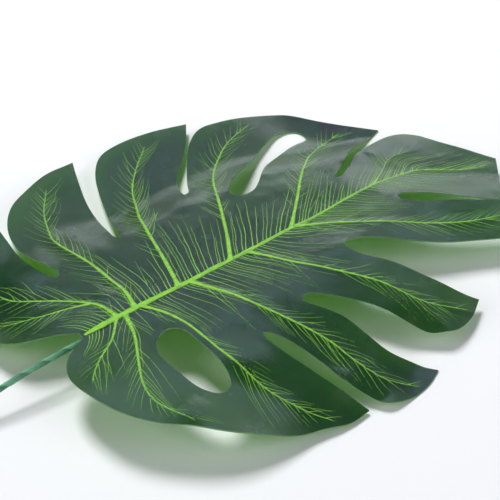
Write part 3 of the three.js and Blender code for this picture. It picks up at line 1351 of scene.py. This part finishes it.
class VeinTree(NodeGraph):
    """Geometry Nodes that drop lines onto the blade and give them a low, rounded section."""

    SECTION_SIDES = 6

    def __init__(self, name: str) -> None:
        """Start an empty tree with a name."""
        super().__init__(bpy.data.node_groups.new(name, "GeometryNodeTree"))
        self.inputs: dict[str, str] = {}

    def _input(self, name: str, kind: str) -> None:
        """Add a named input."""
        made = self.tree.interface.new_socket(name, in_out="INPUT", socket_type=kind)
        self.inputs[name] = made.identifier

    def _attribute(self, name: str, kind: str) -> bpy.types.NodeSocket:
        """Return a number or vector that is stored on the geometry."""
        return self.node("GeometryNodeInputNamedAttribute", {"data_type": kind}, {"Name": name}).outputs[0]

    def build(self) -> "VeinTree":
        """Make the nodes.

        Returns:
            The tree itself.
        """
        self._input("Lines", "NodeSocketGeometry")
        self._input("Blade", "NodeSocketObject")
        self._input("Rise", "NodeSocketFloat")
        self._input("Print", "NodeSocketMaterial")
        self.tree.interface.new_socket("Veins", in_out="OUTPUT", socket_type="NodeSocketGeometry")
        given = self.node("NodeGroupInput").outputs
        curve = self._laid_curve(given)
        round_line = {"Resolution": self.SECTION_SIDES, "Radius": 1.0}
        ring = self.node("GeometryNodeCurvePrimitiveCircle", {"mode": "RADIUS"}, round_line)
        scale = self.node("ShaderNodeCombineXYZ", inputs={"X": 1.0, "Y": given["Rise"], "Z": 1.0})
        section = self.node("GeometryNodeTransform", inputs={0: ring.outputs[0], "Scale": scale.outputs[0]})
        sweep = {"Curve": curve, "Profile Curve": section.outputs[0], "Fill Caps": True}
        sweep["Scale"] = self._attribute("half_width", "FLOAT")
        swept = self.node("GeometryNodeCurveToMesh", inputs=sweep)
        real = self.node("GeometryNodeRealizeInstances", inputs={0: swept.outputs[0]})
        print_on = {0: real.outputs[0], "Material": given["Print"]}
        dressed = self.node("GeometryNodeSetMaterial", inputs=print_on)
        self.node("NodeGroupOutput", inputs={"Veins": dressed.outputs[0]})
        return self

    def _laid_curve(self, given: bpy.types.bpy_prop_collection) -> bpy.types.NodeSocket:
        """Drop the lines onto the blade.

        Args:
            given: the tree's inputs.

        Returns:
            Curves on the blade whose normals lie along its surface.
        """
        blade = self.node("GeometryNodeObjectInfo", inputs={"Object": given["Blade"]})
        down = {"Target Geometry": blade.outputs["Geometry"], "Ray Direction": (0, 0, -1), "Ray Length": 1.0}
        ray = self.node("GeometryNodeRaycast", inputs=down)
        upward = self.node(
            "GeometryNodeStoreNamedAttribute",
            {"data_type": "FLOAT_VECTOR", "domain": "POINT"},
            {0: given["Lines"], "Name": "upward", "Value": ray.outputs["Hit Normal"]},
        )
        laid = self.node(
            "GeometryNodeSetPosition", inputs={0: upward.outputs[0], "Position": ray.outputs["Hit Position"]}
        )
        curve = self.node("GeometryNodeMeshToCurve", inputs={0: laid.outputs[0]})
        ahead = self.node("GeometryNodeInputTangent").outputs[0]
        up = self._attribute("upward", "FLOAT_VECTOR")
        across = self.node("ShaderNodeVectorMath", {"operation": "CROSS_PRODUCT"}, {0: ahead, 1: up})
        turned = {0: curve.outputs[0], "Normal": across.outputs[0]}
        return self.node("GeometryNodeSetCurveNormal", {"mode": "FREE"}, turned).outputs[0]


@dataclass
class Stem:
    """The wrapped stem: a tube round the frame's wire, with the edge of its winding.

    Attributes:
        radius: outer radius in millimetres.
        bore: inner radius in millimetres.
        winding: distance between turns of the wrap, in millimetres.
        lap: height of the wrap's edge, in millimetres.
        sides: faces round the tube.
        rings: rings along the tube.
        wire_sides: vertices round the frame's wire.
    """

    radius: float = 1.2
    bore: float = 0.75
    winding: float = 9.0
    lap: float = 0.16
    sides: int = 28
    rings: int = 260
    wire_sides: int = 12

    def build(self) -> bpy.types.Object:
        """Make the sleeve.

        Returns:
            The finished piece.
        """
        places: list[Vector] = []
        wound: list[float] = []
        centres, spots = self._ring_centres()
        for ring, (centre, spot) in enumerate(zip(centres, spots)):
            ahead = Vector(centres[min(ring + 1, self.rings - 1)] - centres[max(ring - 1, 0)]).normalized()
            for layer in range(2):
                for i in range(self.sides):
                    phase = (i / self.sides + spot / MM / self.winding) % 1.0
                    reach = self.bore if layer else self.radius - self.lap * phase
                    places.append(Vector(centre) + self._outward(ahead, i) * (reach * MM))
                    # Phase of the winding, along which the wrap's material paints a paler band that is partly
                    # a painted highlight
                    wound.append(1 - phase)
        mesh = bpy.data.meshes.new("stem_wrap")
        mesh.from_pydata(places, [], self._faces())
        mesh.attributes.new("wound", "FLOAT", "POINT").data.foreach_set("value", wound)
        mesh.polygons.foreach_set("use_smooth", [True] * len(mesh.polygons))
        self._face_outwards(mesh)
        mesh.materials.append(WrapPlastic().make())
        return new_piece("stem_wrap", mesh)

    def _ring_centres(self) -> tuple[np.ndarray, np.ndarray]:
        """Space the tube's rings evenly along the wire.

        Returns:
            The middles of the rings, and how far along the stem they are in metres.
        """
        line = self._centre_line()
        lengths = np.concatenate([[0.0], np.cumsum(np.linalg.norm(np.diff(line, axis=0), axis=1))])
        spots = np.linspace(0, lengths[-1], self.rings)
        return np.stack([np.interp(spots, lengths, line[:, i]) for i in range(3)], axis=1), spots

    def _outward(self, ahead: Vector, i: int) -> Vector:
        """Find the direction from the middle of the stem to one of its sides.

        Args:
            ahead: the stem's direction.
            i: number of the side.

        Returns:
            The direction.
        """
        across = ahead.cross(Vector((0, 0, 1))).normalized()
        angle = 2 * math.pi * (i / self.sides)
        return across * math.cos(angle) + across.cross(ahead) * math.sin(angle)

    def _centre_line(self) -> np.ndarray:
        """Find the middle of the frame's wire.

        Returns:
            The middles of its rings, from the cut end on.
        """
        corners = np.round(vertex_array(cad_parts["stem_wire"].data), PLACE_DIGITS)
        corners = np.unique(corners, axis=0)
        corners = corners[np.argsort(corners[:, 0])]
        return corners.reshape(-1, self.wire_sides, 3).mean(axis=1)

    def _faces(self) -> list[tuple[int, int, int, int]]:
        """List the faces of the outside, the bore and the two ends.

        Returns:
            The faces, each by its four vertices.
        """
        faces = []
        for ring in range(self.rings - 1):
            for i in range(self.sides):
                for layer in range(2):
                    near, far = (self._index(ring + k, layer, i) for k in range(2))
                    near_next, far_next = (self._index(ring + k, layer, i + 1) for k in range(2))
                    faces.append((near, near_next, far_next, far))
        for ring in (0, self.rings - 1):
            for i in range(self.sides):
                outer, outer_next = (self._index(ring, 0, i + k) for k in range(2))
                inner, inner_next = (self._index(ring, 1, i + k) for k in range(2))
                faces.append((outer, outer_next, inner_next, inner))
        return faces

    def _index(self, ring: int, layer: int, i: int) -> int:
        """Return the number of a vertex of the tube."""
        return (ring * 2 + layer) * self.sides + i % self.sides

    @staticmethod
    def _face_outwards(mesh: bpy.types.Mesh) -> None:
        """Turn all faces of a closed mesh outwards.

        Args:
            mesh: the mesh.
        """
        solid = bmesh.new()
        solid.from_mesh(mesh)
        bmesh.ops.recalc_face_normals(solid, faces=solid.faces)
        solid.to_mesh(mesh)
        solid.free()


@dataclass(frozen=True)
class Lamp:
    """A flat lamp that faces the leaf.

    Attributes:
        name: the lamp's name.
        turn: its turn from the camera's side, in degrees.
        elevation: its height over the table, in degrees.
        away: its distance in metres.
        size: its width and height in metres.
        power: power in watts.
        colour: colour of its light.
        mirrored: whether it shows only in gloss; if not, gloss does not show it.
    """

    name: str
    turn: float
    elevation: float
    away: float
    size: Point
    power: float
    colour: Colour
    mirrored: bool = False


@dataclass(frozen=True)
class SkyPatch:
    """A soft bright patch of the surroundings.

    Attributes:
        turn: its turn from the camera's side, in degrees.
        elevation: height of its middle over the table, in degrees.
        full: angle round its middle inside which it is at its brightest, in degrees.
        dark: angle round its middle past which it adds nothing, in degrees.
        brightness: strength of its light.
    """

    turn: float
    elevation: float
    full: float
    dark: float
    brightness: float


LAMPS = (
    Lamp(
        "back_lamp",
        turn=149.0,
        elevation=56.0,
        away=2.6,
        size=(0.80, 1.00),
        power=63.0,
        colour=(1.0, 1.0, 1.0),
    ),
    Lamp(
        "sheen_card",
        turn=197.0,
        elevation=14.0,
        away=2.0,
        size=(2.3, 0.32),
        power=15.0,
        colour=(0.86, 0.93, 1.0),
        mirrored=True,
    ),
    Lamp(
        "sky_card",
        turn=180.0,
        elevation=48.5,
        away=2.5,
        size=(3.2, 0.8),
        power=25.0,
        colour=(0.62, 0.70, 1.0),
        mirrored=True,
    ),
)
SKY_PATCHES = tuple(
    SkyPatch(turn, elevation=26.0, full=16.0, dark=27.0, brightness=2.7) for turn in (-68.0, 70.0)
)


@dataclass
class Studio:
    """Table, light and camera.

    Attributes:
        plan: where the plan of the leaf lies.
        target: place on the leaf, in plan and in height, that the camera looks at, in millimetres.
        bearing: the camera's turn from straight across the leaf, in degrees.
        elevation: its height over the table, in degrees.
        distance: its distance in millimetres.
        pixels_per_mm: scale of the picture at the target.
        picture: side of the picture in pixels.
        sensor: width of the camera's sensor, in millimetres.
        sight: distance past which the camera sees nothing, in metres.
        table_reach: distance from the table's middle to its sides, in metres.
        table_cells: faces along each side of the table.
        tint: colour of the surroundings.
        ambient: strength of the surroundings' light outside their bright patches.
    """

    plan: LeafPlan
    target: tuple[float, float, float] = (61.68, 1.23, 15.0)
    bearing: float = 37.0
    elevation: float = 41.0
    distance: float = 650.0
    pixels_per_mm: float = 2.6
    picture: int = 500
    sensor: float = 36.0
    sight: float = 20.0
    table_reach: float = 3.0
    table_cells: int = 8
    tint: Colour = (0.96, 0.98, 1.0)
    ambient: float = 0.06

    def build(self) -> None:
        """Make the table, the light and the camera."""
        scene = bpy.context.scene
        scene.view_settings.view_transform = "Standard"
        self._lay_table()
        self._light()
        self._place_camera(scene)

    @staticmethod
    def _aim(bearing: float, elevation: float) -> Vector:
        """Return the direction from a lamp or camera to the leaf."""
        turn, lift = math.radians(bearing), math.radians(elevation)
        return Vector((math.sin(turn) * math.cos(lift), math.cos(turn) * math.cos(lift), -math.sin(lift)))

    def _centre(self) -> Vector:
        """Return the target in the frame."""
        x, y = self.plan.to_frame(np.array(self.target[:2]))
        return Vector((x, y, self.target[2] * MM))

    def _lay_table(self) -> None:
        """Lay the table under the leaf."""
        mesh = bpy.data.meshes.new("table")
        solid = bmesh.new()
        cells = self.table_cells
        bmesh.ops.create_grid(solid, x_segments=cells, y_segments=cells, size=self.table_reach)
        solid.to_mesh(mesh)
        solid.free()
        mesh.materials.append(TableWhite().make())
        new_piece("table", mesh)

    def _light(self) -> None:
        """Hang the lamps and light the rest from the surroundings."""
        for lamp in LAMPS:
            self._hang(lamp)
        world = bpy.data.worlds.new("studio")
        bpy.context.scene.world = world
        world.use_nodes = True
        graph = NodeGraph(world.node_tree)
        strength: float | Socket = self.ambient
        for patch in SKY_PATCHES:
            strength = self._patch_light(graph, patch) + strength
        sky = graph.node("ShaderNodeBackground", inputs={0: self.tint, "Strength": strength})
        graph.node("ShaderNodeOutputWorld", inputs={"Surface": sky.outputs[0]})

    def _patch_light(self, graph: NodeGraph, patch: SkyPatch) -> Socket:
        """Return the light of a patch of the surroundings in each direction.

        Args:
            graph: the surroundings' node tree.
            patch: the patch.

        Returns:
            Its strength, which fades round the patch.
        """
        place = graph.node("ShaderNodeTexCoord").outputs["Generated"]
        middle = -self._aim(self.bearing + patch.turn, patch.elevation)
        pair = {0: place, 1: tuple(middle)}
        facing = graph.node("ShaderNodeVectorMath", {"operation": "DOT_PRODUCT"}, pair)
        fade = {
            0: facing.outputs["Value"],
            1: math.cos(math.radians(patch.dark)),
            2: math.cos(math.radians(patch.full)),
        }
        share = graph.node("ShaderNodeMapRange", {"interpolation_type": "SMOOTHSTEP"}, fade)
        return Socket(graph, share.outputs[0]) * patch.brightness

    def _hang(self, lamp: Lamp) -> None:
        """Hang a lamp so that it faces the leaf.

        Args:
            lamp: the lamp.
        """
        data = bpy.data.lights.new(lamp.name, "AREA")
        data.shape = "RECTANGLE"
        data.size, data.size_y = lamp.size
        data.energy = lamp.power
        data.color = lamp.colour
        hung = bpy.data.objects.new(lamp.name, data)
        hung.visible_glossy = lamp.mirrored
        hung.visible_diffuse = not lamp.mirrored
        hung.visible_transmission = not lamp.mirrored
        hung.visible_camera = False
        aim = self._aim(self.bearing + lamp.turn, lamp.elevation)
        hung.location = self._centre() - aim * lamp.away
        hung.rotation_euler = aim.to_track_quat("-Z", "Y").to_euler()
        bpy.context.scene.collection.objects.link(hung)

    def _place_camera(self, scene: bpy.types.Scene) -> None:
        """Place the camera at the photograph's viewing angle.

        Args:
            scene: the scene that it looks at.
        """
        data = bpy.data.cameras.new("camera")
        data.sensor_width = self.sensor
        data.lens = self.pixels_per_mm * self.distance / self.picture * self.sensor
        data.clip_end = self.sight
        camera = bpy.data.objects.new("camera", data)
        aim = self._aim(self.bearing, self.elevation)
        camera.location = self._centre() - aim * (self.distance * MM)
        camera.rotation_euler = aim.to_track_quat("-Z", "Y").to_euler()
        scene.collection.objects.link(camera)
        scene.camera = camera


def dress_node(name: str, material: bpy.types.Material) -> None:
    """Give a node of the frame a finish of its own."""
    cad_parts[name].material_slots[0].material = material


def main() -> None:
    """Build the pieces in order and tie them to the frame."""
    logging.basicConfig(level=logging.INFO, format="%(name)s: %(message)s")
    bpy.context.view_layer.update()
    plan = LeafPlan()
    Studio(plan).build()

    blade = Blade(plan).build()
    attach(blade, BODY)
    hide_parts("leaf_blade")
    LOG.info("blade: %d faces", len(blade.data.polygons))

    veins = Veins(plan, blade).build()
    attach(veins, BODY)
    LOG.info("veins: %d faces", len(veins.data.polygons))

    wrap = Stem().build()
    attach(wrap, BODY)
    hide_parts("stem_sleeve")
    LOG.info("stem: %d faces", len(wrap.data.polygons))

    dress_node("stem_wire", DrawnSteel().make())
    dress_node("rib_tape", PLAIN_TAPE.make())


if __name__ == "__main__":
    main()
